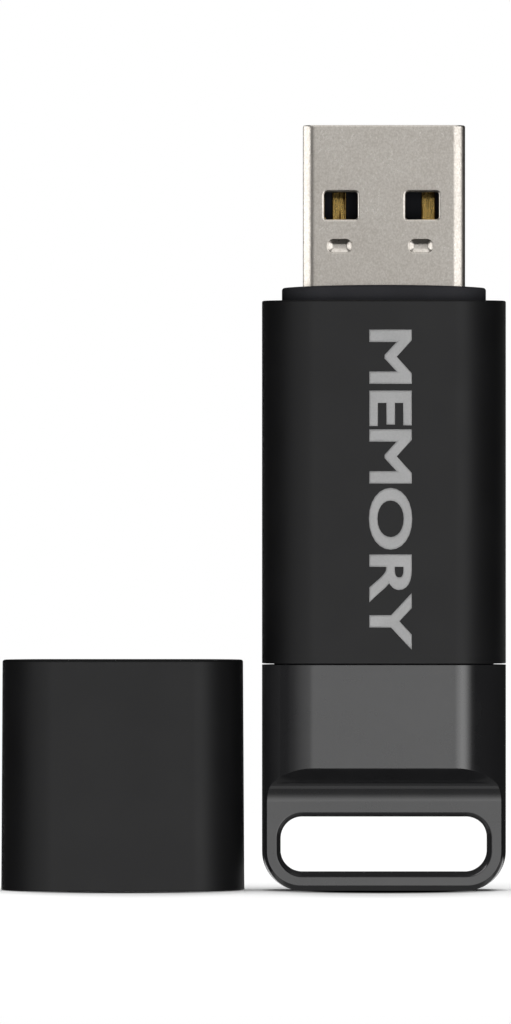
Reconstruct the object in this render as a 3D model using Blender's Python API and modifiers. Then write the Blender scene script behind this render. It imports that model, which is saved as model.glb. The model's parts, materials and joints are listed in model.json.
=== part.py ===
"""USB flash drive with a loop tail and a push-on cap, as separate pieces.

Metres, +Z up along the plug. The drive stands on its tail at the origin with its front face
towards -Y, and the cap stands mouth down beside it on the -X side.
"""

import math

import bmesh
import bpy
from mathutils import Matrix, Vector

# Outer section, shared by the sleeve and the tail
BODY_WIDTH = 0.01805
BODY_DEPTH = 0.0090
BODY_RADIUS = 0.00385
WALL = 0.0008
SLIP_GAP = 0.0001

# Heights above the base
TAIL_TOP = 0.01670
SLEEVE_BOTTOM = 0.01680
SLEEVE_TOP = 0.04363
COLLAR_TOP = 0.04478
PLUG_TIP = 0.05660

# Tail: key-ring slot, plate and the two scoops that thin it
CORNER_RADIUS = 0.0029
BASE_EDGE = 0.0002
PLATE_DEPTH = 0.0046
SCOOP_TOP = 0.0090
SCOOP_SLOPE = math.radians(35.5)
SCOOP_RADIUS = 0.00192
SLOT_WIDTH = 0.0153
SLOT_BOTTOM = 0.00133
SLOT_TOP = 0.00549
SLOT_RADIUS = 0.0016
POCKET_BOTTOM = 0.0103
SPIGOT_TOP = 0.0188

# Collar
COLLAR_WIDTH = 0.0151
COLLAR_DEPTH = 0.0065
COLLAR_RADIUS = 0.0026
COLLAR_BOTTOM = 0.0422
CROWN_RADIUS = 0.150

# Inner carriers
CARRIER_BOTTOM = 0.0190
CARRIER_TOP = 0.0420
CARRIER_WALL = 0.0008
LEDGE_WIDTH, LEDGE_DEPTH = 0.0009, 0.0005
LEDGE_OVERLAP = 0.0003
CLAMP_WIDTH = 0.0060
LEDGE_LOW, LEDGE_HIGH = 0.0200, 0.0340
CLAMP_LOW, CLAMP_HIGH = 0.0385, 0.0415

# USB-A plug
PLUG_WIDTH = 0.0120
PLUG_DEPTH = 0.0045
PLUG_RADIUS = 0.0007
SHEET = 0.0003
SHELL_BOTTOM = 0.0380
LEG_BOTTOM = 0.0359
LEG_DEPTH = 0.0018
WINDOW_WIDTH, WINDOW_HEIGHT = 0.0024, 0.0020
WINDOW_X, WINDOW_Z = 0.0030, 0.0507
WINDOW_SHIFT = -0.00012
TONGUE_TIP = 0.0560
TONGUE_BACK = 0.0444
INSULATOR_BOTTOM = 0.0392
CONTACT_WIDTH = 0.0010
CONTACT_SHEET = 0.00016
CONTACT_LIFT = 0.00006
CONTACT_LOW, CONTACT_HIGH = 0.0356, 0.0552
CONTACTS = {
    "contact_power": 0.0033,
    "contact_data_minus": 0.0010,
    "contact_data_plus": -0.0010,
    "contact_ground": -0.0033,
}

# Circuit board, with its front face on the plane that the contacts lie on
BOARD_FRONT = 0.0001
BOARD_SHEET = 0.0008
BOARD_WIDTH = 0.0140
BOARD_NECK_WIDTH = 0.0108
BOARD_CORNER = 0.0004
BOARD_BOTTOM, BOARD_SHOULDER, BOARD_TOP = 0.0110, 0.0354, 0.0389
SOLDER_GAP = 0.00005

# Cap
CAP_X = -0.01933
CAP_HEIGHT = 0.01706
CAP_TOP_WIDTH, CAP_MOUTH_WIDTH = 0.0178, 0.0180
CAP_DEPTH = 0.0089
CAP_RADIUS = 0.0038
CAP_EDGE = 0.00015
CAP_ROOF = 0.0010
LINER_BOTTOM = 0.00135
LINER_CLEARANCE = 0.0002
CAVITY_TOP = 0.0136
GRIP_HEIGHT = 0.00008
GRIP_WIDTH = 0.0006
GRIP_X = 0.0040
GRIP_MARGIN = 0.0010

ARC_STEPS = 10
EDGE_STEPS = 2

# name: (length x, height z, thickness, centre x, centre z, material name)
FRONT_COMPONENTS = {
    "flash_memory_front": (0.0115, 0.0130, 0.0010, 0.0, 0.0190, "black epoxy"),
    "controller_chip": (0.0070, 0.0070, 0.00085, -0.0025, 0.0300, "black epoxy"),
    "clock_crystal": (0.0032, 0.0025, 0.0008, 0.0042, 0.0283, "plated steel"),
    "voltage_regulator": (0.0029, 0.0016, 0.0011, 0.0042, 0.0315, "black epoxy"),
    "capacitor_core": (0.0010, 0.0005, 0.0005, 0.0045, 0.0263, "ceramic"),
    "capacitor_clock": (0.0010, 0.0005, 0.0005, 0.0025, 0.0263, "ceramic"),
    "resistor_data_minus": (0.0005, 0.0010, 0.00035, 0.0010, 0.0346, "resistor body"),
    "resistor_data_plus": (0.0005, 0.0010, 0.00035, -0.0010, 0.0346, "resistor body"),
}
BACK_COMPONENTS = {
    "flash_memory_back": (0.0120, 0.0180, 0.0010, 0.0, 0.0215, "black epoxy"),
    "surge_protector": (0.0016, 0.0016, 0.0006, 0.0, 0.0366, "black epoxy"),
    "ferrite_bead": (0.0016, 0.0008, 0.0008, 0.0034, 0.0366, "ferrite"),
    "capacitor_bulk": (0.0020, 0.00125, 0.00125, 0.0040, 0.0335, "ceramic"),
    "capacitor_input": (0.0016, 0.0008, 0.0008, -0.0034, 0.0366, "ceramic"),
    "capacitor_flash": (0.0016, 0.0008, 0.0008, -0.0040, 0.0335, "ceramic"),
    "capacitor_output": (0.0010, 0.0005, 0.0005, 0.0010, 0.0335, "ceramic"),
    "resistor_ready": (0.0010, 0.0005, 0.00035, -0.0012, 0.0340, "resistor body"),
    "resistor_enable": (0.0010, 0.0005, 0.00035, -0.0012, 0.0328, "resistor body"),
}

# name: (linear colour, roughness, metallic)
FINISHES = {
    "satin black plastic": ((0.030, 0.030, 0.031), 0.45, 0.0),
    "gloss grey plastic": ((0.055, 0.055, 0.056), 0.25, 0.0),
    "matt black plastic": ((0.023, 0.023, 0.025), 0.60, 0.0),
    "natural plastic": ((0.52, 0.52, 0.49), 0.50, 0.0),
    "dark plug plastic": ((0.008, 0.009, 0.012), 0.50, 0.0),
    "plug sheet steel": ((0.52, 0.50, 0.46), 0.32, 1.0),
    "gold contact": ((0.83, 0.60, 0.22), 0.25, 1.0),
    "circuit board": ((0.012, 0.10, 0.045), 0.35, 0.0),
    "black epoxy": ((0.014, 0.014, 0.015), 0.55, 0.0),
    "plated steel": ((0.60, 0.60, 0.58), 0.28, 1.0),
    "ceramic": ((0.40, 0.27, 0.16), 0.50, 0.0),
    "ferrite": ((0.05, 0.05, 0.055), 0.50, 0.0),
    "resistor body": ((0.02, 0.02, 0.025), 0.45, 0.0),
}

PLANES = {
    "XY": (Matrix.Identity(4), Vector((0, 0, 1))),
    "XZ": (Matrix.Rotation(math.radians(90), 4, "X"), Vector((0, 1, 0))),
    "YZ": (Matrix(((0, 0, 1, 0), (1, 0, 0, 0), (0, 1, 0, 0), (0, 0, 0, 1))), Vector((1, 0, 0))),
}


def collection(name):
    made = bpy.data.collections.new(name)
    bpy.context.scene.collection.children.link(made)
    return made


def finish(name):
    """The material of this name, made the first time that it is asked for."""
    if name in bpy.data.materials:
        return bpy.data.materials[name]
    colour, roughness, metallic = FINISHES[name]
    made = bpy.data.materials.new(name)
    made.use_nodes = True
    shader = made.node_tree.nodes["Principled BSDF"]
    shader.inputs["Base Color"].default_value = (*colour, 1)
    shader.inputs["Roughness"].default_value = roughness
    shader.inputs["Metallic"].default_value = metallic
    made.diffuse_color = (*colour, 1)
    return made


# Outlines


def arc(centre, radius, start, end, steps=ARC_STEPS):
    """Points round a centre, angles in degrees."""
    turns = (math.radians(start + (end - start) * step / steps) for step in range(steps + 1))
    return [(centre[0] + radius * math.cos(a), centre[1] + radius * math.sin(a)) for a in turns]


def frame_outline(left, right, low, high, radii):
    """A rectangle whose corner radii run anticlockwise from the lower right one."""
    corners = ((right, low, -90), (right, high, 0), (left, high, 90), (left, low, 180))
    points = []
    for (across, along, start), radius in zip(corners, radii):
        centre = (across - math.copysign(radius, across - left - 1e-9),
                  along - math.copysign(radius, along - low - 1e-9))
        points += arc(centre, radius, start, start + 90) if radius else [(across, along)]
    return points


def rounded(width, depth, radius):
    return frame_outline(-width / 2, width / 2, -depth / 2, depth / 2, [radius] * 4)


def inset(width, depth, radius, gap):
    """The rounded rectangle that keeps this gap inside another one."""
    return rounded(width - 2 * gap, depth - 2 * gap, radius - gap)


# Solids


def add_object(name, mesh, location=(0, 0, 0)):
    made = bpy.data.objects.new(name, mesh)
    made.location = location
    PARTS.objects.link(made)
    return made


def slab(name, outlines, low, high, plane="XY", edge=0.0):
    """A flat solid between two levels. The first outline is its edge and the others are holes."""
    curve = bpy.data.curves.new(name, "CURVE")
    curve.dimensions = "2D"
    curve.fill_mode = "BOTH"
    curve.extrude = (high - low) / 2 - edge
    curve.bevel_depth = edge
    curve.bevel_resolution = EDGE_STEPS
    curve.offset = -edge
    for outline in outlines:
        spline = curve.splines.new("POLY")
        spline.points.add(len(outline) - 1)
        for point, (across, along) in zip(spline.points, outline):
            point.co = (across, along, 0, 1)
        spline.use_cyclic_u = True
    drawn = bpy.data.objects.new(name, curve)
    bpy.context.scene.collection.objects.link(drawn)
    graph = bpy.context.evaluated_depsgraph_get()
    mesh = bpy.data.meshes.new_from_object(drawn.evaluated_get(graph))
    bpy.data.objects.remove(drawn)
    turn, normal = PLANES[plane]
    work = bmesh.new()
    work.from_mesh(mesh)
    bmesh.ops.remove_doubles(work, verts=work.verts, dist=1e-7)
    bmesh.ops.transform(work, matrix=turn, verts=work.verts)
    bmesh.ops.recalc_face_normals(work, faces=work.faces)
    work.to_mesh(mesh)
    work.free()
    return add_object(name, mesh, normal * (low + high) / 2)


def box(name, size, centre, edge=0.0):
    """A block of this size with its middle at centre, and a rounded edge if one is given."""
    mesh = bpy.data.meshes.new(name)
    work = bmesh.new()
    bmesh.ops.create_cube(work, size=1, matrix=Matrix.Diagonal((*size, 1)))
    work.to_mesh(mesh)
    work.free()
    made = add_object(name, mesh, centre)
    if edge:
        bevel = made.modifiers.new("edge", "BEVEL")
        bevel.width = edge
        bevel.segments = 2
    return made


def combine(target, other, operation):
    """Cuts, joins or trims one solid with another, which is then only a hidden helper."""
    modifier = target.modifiers.new(f"{operation} {other.name}", "BOOLEAN")
    modifier.operation = operation
    modifier.solver = "EXACT"
    modifier.object = other
    other.display_type = "WIRE"
    other.hide_render = True
    PARTS.objects.unlink(other)
    CUTTERS.objects.link(other)


def dress(piece, finish_name, smooth=True):
    piece.data.materials.clear()
    piece.data.materials.append(finish(finish_name))
    if smooth:
        piece.data.shade_smooth()
        piece.data.set_sharp_from_angle(angle=math.radians(32))
    return piece


def empty(name, location):
    made = bpy.data.objects.new(name, None)
    made.location = location
    made.empty_display_size = 0.004
    PARTS.objects.link(made)
    return made


# Drive


def build_sleeve():
    outer = rounded(BODY_WIDTH, BODY_DEPTH, BODY_RADIUS)
    inner = inset(BODY_WIDTH, BODY_DEPTH, BODY_RADIUS, WALL)
    dress(slab("housing_sleeve", [outer, inner[::-1]], SLEEVE_BOTTOM, SLEEVE_TOP), "satin black plastic")


def tail_profile():
    """Side view of the tail: a flat base, the thin plate, and a sloping shelf out to full depth."""
    plate, body = PLATE_DEPTH / 2, BODY_DEPTH / 2
    base = arc((plate - BASE_EDGE, BASE_EDGE), BASE_EDGE, -90, 0, 4)
    shelf_start = plate + SCOOP_RADIUS * (1 - math.sin(SCOOP_SLOPE))
    shelf_rise = (body - shelf_start) * math.tan(SCOOP_SLOPE)
    centre = (plate + SCOOP_RADIUS, SCOOP_TOP - shelf_rise - SCOOP_RADIUS * math.cos(SCOOP_SLOPE))
    fillet = arc(centre, SCOOP_RADIUS, 180, 90 + math.degrees(SCOOP_SLOPE))
    side = base + fillet + [(body, SCOOP_TOP), (body, TAIL_TOP)]
    return side + [(-depth, height) for depth, height in reversed(side)]


def build_tail():
    half = BODY_WIDTH / 2
    tail = slab("tail_loop", [rounded(BODY_WIDTH, BODY_DEPTH, BODY_RADIUS)], 0, TAIL_TOP)
    front_view = frame_outline(-half, half, 0, TAIL_TOP, (CORNER_RADIUS, 0, 0, CORNER_RADIUS))
    slot = frame_outline(-SLOT_WIDTH / 2, SLOT_WIDTH / 2, SLOT_BOTTOM, SLOT_TOP, [SLOT_RADIUS] * 4)
    trim = slab("tail_front_view", [front_view, slot[::-1]], -BODY_DEPTH, BODY_DEPTH, "XZ")
    combine(tail, trim, "INTERSECT")
    combine(tail, slab("tail_side_view", [tail_profile()], -BODY_WIDTH, BODY_WIDTH, "YZ"), "INTERSECT")
    spigot = inset(BODY_WIDTH, BODY_DEPTH, BODY_RADIUS, WALL + SLIP_GAP)
    combine(tail, slab("tail_spigot", [spigot], TAIL_TOP - WALL, SPIGOT_TOP), "UNION")
    pocket = inset(BODY_WIDTH, BODY_DEPTH, BODY_RADIUS, WALL + SLIP_GAP + CARRIER_WALL)
    combine(tail, slab("tail_pocket", [pocket], POCKET_BOTTOM, SPIGOT_TOP + WALL), "DIFFERENCE")
    dress(tail, "gloss grey plastic")


def build_collar():
    flange = inset(BODY_WIDTH, BODY_DEPTH, BODY_RADIUS, WALL + SLIP_GAP)
    collar = slab("front_collar", [flange], COLLAR_BOTTOM, SLEEVE_TOP)
    nose = rounded(COLLAR_WIDTH, COLLAR_DEPTH, COLLAR_RADIUS)
    combine(collar, slab("collar_nose", [nose], SLEEVE_TOP - WALL, COLLAR_TOP + WALL), "UNION")
    reach = math.degrees(math.asin(BODY_WIDTH / 2 / CROWN_RADIUS))
    crown = arc((0, COLLAR_TOP - CROWN_RADIUS), CROWN_RADIUS, 90 - reach, 90 + reach)
    crown += [(-BODY_WIDTH / 2, COLLAR_BOTTOM - WALL), (BODY_WIDTH / 2, COLLAR_BOTTOM - WALL)]
    combine(collar, slab("collar_crown", [crown], -BODY_DEPTH, BODY_DEPTH, "XZ"), "INTERSECT")
    hole = inset(PLUG_WIDTH, PLUG_DEPTH, PLUG_RADIUS, -SLIP_GAP)
    combine(collar, slab("collar_hole", [hole], COLLAR_BOTTOM - WALL, COLLAR_TOP + WALL), "DIFFERENCE")
    dress(collar, "matt black plastic")


def build_carrier(name, side):
    """Half of the inner frame: side is -1 for the front half and +1 for the back half."""
    gap = WALL + SLIP_GAP
    outer = inset(BODY_WIDTH, BODY_DEPTH, BODY_RADIUS, gap)
    inner = inset(BODY_WIDTH, BODY_DEPTH, BODY_RADIUS, gap + CARRIER_WALL)
    carrier = slab(name, [outer, inner[::-1]], CARRIER_BOTTOM, CARRIER_TOP)
    split = BOARD_FRONT + BOARD_SHEET / 2 + side * SLIP_GAP
    size = (BODY_WIDTH, BODY_DEPTH, BODY_WIDTH * 2)
    middle = (0, split + side * BODY_DEPTH / 2, (CARRIER_BOTTOM + CARRIER_TOP) / 2)
    combine(carrier, box(f"{name}_half", size, middle), "INTERSECT")
    face = BOARD_FRONT - SLIP_GAP if side < 0 else BOARD_FRONT + BOARD_SHEET + SLIP_GAP
    inner_half_width = BODY_WIDTH / 2 - gap - CARRIER_WALL
    for direction in (-1, 1):
        ledge_size = (LEDGE_WIDTH, LEDGE_DEPTH, LEDGE_HIGH - LEDGE_LOW)
        ledge_x = direction * (inner_half_width - LEDGE_OVERLAP)
        ledge_y = face + side * ledge_size[1] / 2
        ledge = box(f"{name}_ledge_{direction}", ledge_size, (ledge_x, ledge_y, (LEDGE_LOW + LEDGE_HIGH) / 2))
        combine(carrier, ledge, "UNION")
    inner_half_depth = BODY_DEPTH / 2 - gap - CARRIER_WALL
    clamp_face = PLUG_DEPTH / 2 + SLIP_GAP
    clamp_depth = inner_half_depth - clamp_face + CARRIER_WALL / 2
    clamp_size = (CLAMP_WIDTH, clamp_depth, CLAMP_HIGH - CLAMP_LOW)
    clamp_place = (0, side * (clamp_face + clamp_depth / 2), (CLAMP_LOW + CLAMP_HIGH) / 2)
    combine(carrier, box(f"{name}_clamp", clamp_size, clamp_place), "UNION")
    dress(carrier, "natural plastic")


def build_plug_shell():
    outer = rounded(PLUG_WIDTH, PLUG_DEPTH, PLUG_RADIUS)
    inner = inset(PLUG_WIDTH, PLUG_DEPTH, PLUG_RADIUS, SHEET)
    shell = slab("plug_shell", [outer, inner[::-1]], SHELL_BOTTOM, PLUG_TIP)
    for direction in (-1, 1):
        leg_size = (SHEET, LEG_DEPTH, SHELL_BOTTOM - LEG_BOTTOM + SHEET)
        leg_place = (direction * (PLUG_WIDTH - SHEET) / 2, 0, (LEG_BOTTOM + SHELL_BOTTOM + SHEET) / 2)
        combine(shell, box(f"shell_leg_{direction}", leg_size, leg_place), "UNION")
        window_size = (WINDOW_WIDTH, PLUG_DEPTH * 2, WINDOW_HEIGHT)
        window_place = (WINDOW_SHIFT + direction * WINDOW_X, 0, WINDOW_Z)
        window = box(f"shell_window_{direction}", window_size, window_place)
        combine(shell, window, "DIFFERENCE")
    dress(shell, "plug sheet steel")


def build_insulator():
    half_width = PLUG_WIDTH / 2 - SHEET - SLIP_GAP
    half_depth = PLUG_DEPTH / 2 - SHEET - SLIP_GAP / 2
    tongue = frame_outline(-half_width, half_width, BOARD_FRONT, half_depth, (0, PLUG_RADIUS, PLUG_RADIUS, 0))
    insulator = slab("plug_insulator", [tongue], INSULATOR_BOTTOM, TONGUE_TIP)
    block_outline = rounded(half_width * 2, half_depth * 2, PLUG_RADIUS)
    block = slab("insulator_block", [block_outline], INSULATOR_BOTTOM, TONGUE_BACK)
    combine(insulator, block, "UNION")
    block_height = TONGUE_BACK - INSULATOR_BOTTOM
    for name, place in CONTACTS.items():
        depth = CONTACT_SHEET + 3 * CONTACT_LIFT
        size = (CONTACT_WIDTH + 2 * CONTACT_LIFT, depth, block_height + 2 * WALL)
        middle = (place, BOARD_FRONT + CONTACT_LIFT - depth / 2, block.location.z)
        combine(insulator, box(f"{name}_groove", size, middle), "DIFFERENCE")
    dress(insulator, "dark plug plastic", smooth=False)


def build_contacts():
    for name, place in CONTACTS.items():
        size = (CONTACT_WIDTH, CONTACT_SHEET, CONTACT_HIGH - CONTACT_LOW)
        middle_y = BOARD_FRONT - CONTACT_LIFT - CONTACT_SHEET / 2
        strip = box(name, size, (place, middle_y, (CONTACT_LOW + CONTACT_HIGH) / 2), edge=CONTACT_SHEET / 4)
        dress(strip, "gold contact")


def board_outline():
    """Front view of the board: full width below the shoulders and a neck that goes behind the plug."""
    half, neck = BOARD_WIDTH / 2, BOARD_NECK_WIDTH / 2
    centre = (half - BOARD_CORNER, BOARD_BOTTOM + BOARD_CORNER)
    side = arc(centre, BOARD_CORNER, -90, 0, 4)
    side += [(half, BOARD_SHOULDER), (neck, BOARD_SHOULDER), (neck, BOARD_TOP)]
    return side + [(-across, along) for across, along in reversed(side)]


def build_board():
    board = slab("circuit_board", [board_outline()], BOARD_FRONT, BOARD_FRONT + BOARD_SHEET, "XZ")
    dress(board, "circuit board", smooth=False)


def build_components(components, side):
    """Solders parts to one face of the board: side is -1 for the front and +1 for the back."""
    face = BOARD_FRONT if side < 0 else BOARD_FRONT + BOARD_SHEET
    for name, (length, height, thickness, across, along, finish_name) in components.items():
        middle = (across, face + side * (SOLDER_GAP + thickness / 2), along)
        part = box(name, (length, thickness, height), middle, edge=0.00005)
        dress(part, finish_name)


# Cap


def taper(piece, scale):
    """Narrows a piece towards its top."""
    for vertex in piece.data.vertices:
        if vertex.co.z > 0:
            vertex.co.x *= scale


def build_cap():
    draft = CAP_TOP_WIDTH / CAP_MOUTH_WIDTH
    shell = slab("cap_shell", [rounded(CAP_MOUTH_WIDTH, CAP_DEPTH, CAP_RADIUS)], 0, CAP_HEIGHT, edge=CAP_EDGE)
    taper(shell, draft)
    inner = inset(CAP_MOUTH_WIDTH, CAP_DEPTH, CAP_RADIUS, WALL)
    hollow = slab("cap_hollow", [inner], -WALL, CAP_HEIGHT - CAP_ROOF)
    taper(hollow, draft)
    combine(shell, hollow, "DIFFERENCE")
    dress(shell, "satin black plastic")
    fitted = inset(CAP_MOUTH_WIDTH, CAP_DEPTH, CAP_RADIUS, WALL + LINER_CLEARANCE)
    liner = slab("cap_liner", [fitted], LINER_BOTTOM, CAP_HEIGHT - CAP_ROOF - SLIP_GAP)
    cavity_outline = inset(PLUG_WIDTH, PLUG_DEPTH, PLUG_RADIUS, -SLIP_GAP)
    cavity = slab("liner_cavity", [cavity_outline], 0, CAVITY_TOP)
    combine(liner, cavity, "DIFFERENCE")
    helpers = [hollow, cavity]
    half_depth = PLUG_DEPTH / 2 + SLIP_GAP
    rib_low, rib_high = LINER_BOTTOM + GRIP_MARGIN, CAVITY_TOP - GRIP_MARGIN
    for direction in (-1, 1):
        for side in (-1, 1):
            size = (GRIP_WIDTH, 2 * GRIP_HEIGHT, rib_high - rib_low)
            place = (direction * GRIP_X, side * half_depth, (rib_low + rib_high) / 2)
            rib = box(f"grip_rib_{direction}_{side}", size, place)
            combine(liner, rib, "UNION")
            helpers.append(rib)
    dress(liner, "natural plastic")
    return [shell, liner, *helpers]


for old in list(bpy.data.objects):
    bpy.data.objects.remove(old)
PARTS = collection("usb_flash_drive")
CUTTERS = collection("cutters")

build_sleeve()
build_tail()
build_collar()
build_carrier("carrier_front", -1)
build_carrier("carrier_back", 1)
build_plug_shell()
build_insulator()
build_contacts()
build_board()
build_components(FRONT_COMPONENTS, -1)
build_components(BACK_COMPONENTS, 1)
drive_root = empty("drive_root", (0, 0, 0))
for piece in list(PARTS.objects) + list(CUTTERS.objects):
    if piece is not drive_root:
        piece.parent = drive_root

cap_pieces = build_cap()
cap_axis = empty("cap_axis", (CAP_X, 0, 0))
for piece in cap_pieces:
    piece.parent = cap_axis
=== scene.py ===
"""Looks of a USB flash drive: satin sleeve, glossy loop tail, steel plug and a push-on cap.

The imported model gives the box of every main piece, and the details in it are sized here. Each
sub-assembly is a class that builds its pieces with bmesh, in finishes named for real materials.
"""

import json
import logging
import math
from dataclasses import dataclass, field
from enum import Enum

import bmesh
import bpy
from bmesh.types import BMEdge, BMFace, BMVert
from bpy.types import Material, Node, NodeSocket, NodeTree, Object
from mathutils import Matrix, Vector

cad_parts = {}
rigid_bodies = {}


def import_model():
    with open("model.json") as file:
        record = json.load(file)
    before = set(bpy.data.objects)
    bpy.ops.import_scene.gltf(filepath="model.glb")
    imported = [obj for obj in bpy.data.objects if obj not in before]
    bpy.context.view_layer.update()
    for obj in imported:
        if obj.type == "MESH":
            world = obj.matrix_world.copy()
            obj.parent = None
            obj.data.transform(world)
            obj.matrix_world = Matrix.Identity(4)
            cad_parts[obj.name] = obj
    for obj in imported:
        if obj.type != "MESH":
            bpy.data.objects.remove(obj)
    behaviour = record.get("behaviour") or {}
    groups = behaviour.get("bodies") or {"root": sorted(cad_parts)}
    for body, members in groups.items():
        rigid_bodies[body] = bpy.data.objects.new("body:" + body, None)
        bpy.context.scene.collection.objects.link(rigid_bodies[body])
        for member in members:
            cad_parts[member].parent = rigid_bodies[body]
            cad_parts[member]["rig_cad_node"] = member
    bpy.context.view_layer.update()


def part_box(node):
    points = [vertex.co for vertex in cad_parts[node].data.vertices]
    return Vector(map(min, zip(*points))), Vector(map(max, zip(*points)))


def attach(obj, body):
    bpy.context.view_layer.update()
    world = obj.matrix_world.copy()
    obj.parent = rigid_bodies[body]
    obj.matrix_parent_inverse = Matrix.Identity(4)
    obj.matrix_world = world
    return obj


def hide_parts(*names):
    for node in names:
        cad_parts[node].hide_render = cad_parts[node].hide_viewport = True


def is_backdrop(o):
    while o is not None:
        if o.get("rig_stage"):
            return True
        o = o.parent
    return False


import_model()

MM = 0.001
# Points nearer than this are taken as one.
TOUCH = 5e-7
# Edges that turn more sharply than this stay crisp.
CRISP = math.radians(40)
# Noise seldom leaves this range, so it is stretched to fill 0 to 1.
NOISE_RANGE = {"From Min": 0.35, "From Max": 0.65}

log = logging.getLogger("flash_drive")


class Axis(Enum):
    """The three directions of the model, numbered as a vector's parts are."""

    X = 0
    Y = 1
    Z = 2

    @property
    def vector(self) -> Vector:
        """The unit vector along this axis."""
        return Vector([float(index == self.value) for index in range(3)])


class Body(Enum):
    """The rigid bodies that a piece can ride on."""

    DRIVE = "drive"
    CAP = "cap"


# Finishes


def linear(hex_colour: str) -> tuple[float, float, float, float]:
    """Turns an sRGB hex colour into the linear one that a shader takes.

    Args:
        hex_colour: Six hex digits, with or without a leading #.

    Returns:
        Red, green, blue and an alpha of 1.
    """
    parts = [int(hex_colour.lstrip("#")[at : at + 2], 16) / 255 for at in (0, 2, 4)]
    bent = [part / 12.92 if part <= 0.04045 else ((part + 0.055) / 1.055) ** 2.4 for part in parts]
    return (bent[0], bent[1], bent[2], 1.0)


def per_metre(size_mm: float) -> float:
    """The texture scale at which one feature of a pattern is about this many millimetres."""
    return 1000.0 / size_mm


def add_node(tree: NodeTree, kind: str, inputs: dict | None = None, **settings: object) -> Node:
    """Adds a node, sets it up and fills its inputs.

    Args:
        tree: The node tree that takes it.
        kind: Its Blender type name.
        inputs: Input name or number to a value, or to the output socket that feeds it.
        settings: The node's own properties.

    Returns:
        The new node.
    """
    node = tree.nodes.new(kind)
    for name, value in settings.items():
        setattr(node, name, value)
    for name, value in (inputs or {}).items():
        if isinstance(value, NodeSocket):
            tree.links.new(value, node.inputs[name])
        else:
            node.inputs[name].default_value = value
    return node


@dataclass(frozen=True)
class Finish:
    """A surface: its colours, its shine, and the fine grain that the making of it leaves.

    Attributes:
        name: Material and process.
        colour: Main sRGB hex colour.
        shade: Second colour, which patches of the surface lean to.
        roughness: Mean roughness.
        spread: How far roughness wanders either side of the mean.
        metallic: 1 for a metal.
        ior: Index of refraction, left at the default on a metal.
        specular: Strength of the mirror-like part, which a fine texture weakens.
        grain_mm: Size of the finest bumps.
        relief_mm: Height of those bumps.
        patch_mm: Size of the broad patches of colour and shine.
        grain_share: How much of the colour follows the grain, and the rest the patches.
        stretch: Scale of the grain along X, Y and Z, which draws it out into streaks.
    """

    name: str
    colour: str
    shade: str
    roughness: float
    spread: float = 0.03
    metallic: float = 0.0
    ior: float = 1.5
    specular: float = 0.5
    grain_mm: float = 0.12
    relief_mm: float = 0.002
    patch_mm: float = 4.0
    grain_share: float = 0.4
    stretch: tuple[float, float, float] = (1.0, 1.0, 1.0)

    def material(self) -> Material:
        """The material of this finish, built once and shared."""
        return bpy.data.materials.get(self.name) or self.build()

    def build(self) -> Material:
        """Builds the node tree.

        Returns:
            The new material.
        """
        made = bpy.data.materials.new(self.name)
        made.use_nodes = True
        tree = made.node_tree
        shader = tree.nodes["Principled BSDF"]
        shader.inputs["Metallic"].default_value = self.metallic
        shader.inputs["IOR"].default_value = self.ior
        shader.inputs["Specular IOR Level"].default_value = self.specular
        place = add_node(tree, "ShaderNodeTexCoord").outputs["Object"]
        drawn = add_node(tree, "ShaderNodeMapping", {"Vector": place, "Scale": self.stretch}).outputs[0]
        patches = self.noise(tree, place, self.patch_mm, 3.0)
        grain = self.noise(tree, drawn, self.grain_mm, 2.0)
        share = add_node(tree, "ShaderNodeMix", {0: self.grain_share, 2: patches, 3: grain}).outputs[0]
        spread = add_node(tree, "ShaderNodeMapRange", {"Value": share, **NOISE_RANGE}).outputs[0]
        colours = {0: spread, 6: linear(self.colour), 7: linear(self.shade)}
        tint = add_node(tree, "ShaderNodeMix", colours, data_type="RGBA")
        tree.links.new(tint.outputs[2], shader.inputs["Base Color"])
        shine = {
            "Value": spread,
            "To Min": self.roughness - self.spread,
            "To Max": self.roughness + self.spread,
        }
        rough = add_node(tree, "ShaderNodeMapRange", shine)
        tree.links.new(rough.outputs[0], shader.inputs["Roughness"])
        bump = add_node(tree, "ShaderNodeBump", {"Height": grain, "Distance": self.relief_mm * MM})
        tree.links.new(bump.outputs[0], shader.inputs["Normal"])
        return made

    def noise(self, tree: NodeTree, place: NodeSocket, size_mm: float, detail: float) -> NodeSocket:
        """Noise whose blotches are about this many millimetres across."""
        inputs = {"Vector": place, "Scale": per_metre(size_mm), "Detail": detail}
        return add_node(tree, "ShaderNodeTexNoise", inputs).outputs["Fac"]


# Moulded polycarbonate from a finely spark-eroded tool: dark, even, with a soft wide sheen.
SATIN_PLASTIC = Finish(
    "satin moulded polycarbonate", "0f0f10", "131314", 0.50, specular=0.215, grain_mm=0.10, relief_mm=0.0012
)
# The same resin from a polished tool: a clear reflection with the faintest waviness.
GLOSS_PLASTIC = Finish(
    "polished moulded polycarbonate", "1e1e1f", "212122", 0.13, 0.02, grain_mm=0.9, relief_mm=0.0006
)
# Glass-filled nylon: chalky black, its grain just visible.
MATT_NYLON = Finish(
    "matt moulded nylon", "303033", "38383b", 0.62, 0.06, specular=0.05, grain_mm=0.09, relief_mm=0.006
)
# Unpainted ABS of the inner parts: cream white and slightly waxy.
NATURAL_ABS = Finish("natural moulded ABS", "d8d5c8", "cdc9ba", 0.48, 0.05, ior=1.53, relief_mm=0.002)
# Nickel-plated stamped steel: warm grey, its rolled grain blurs what it reflects.
PLUG_STEEL = Finish(
    "nickel-plated stamped steel",
    "cac5be",
    "b5afa7",
    0.33,
    0.06,
    metallic=1.0,
    grain_mm=0.13,
    relief_mm=0.0035,
    patch_mm=3.0,
    grain_share=0.75,
    stretch=(1.0, 1.0, 0.8),
)
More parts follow.
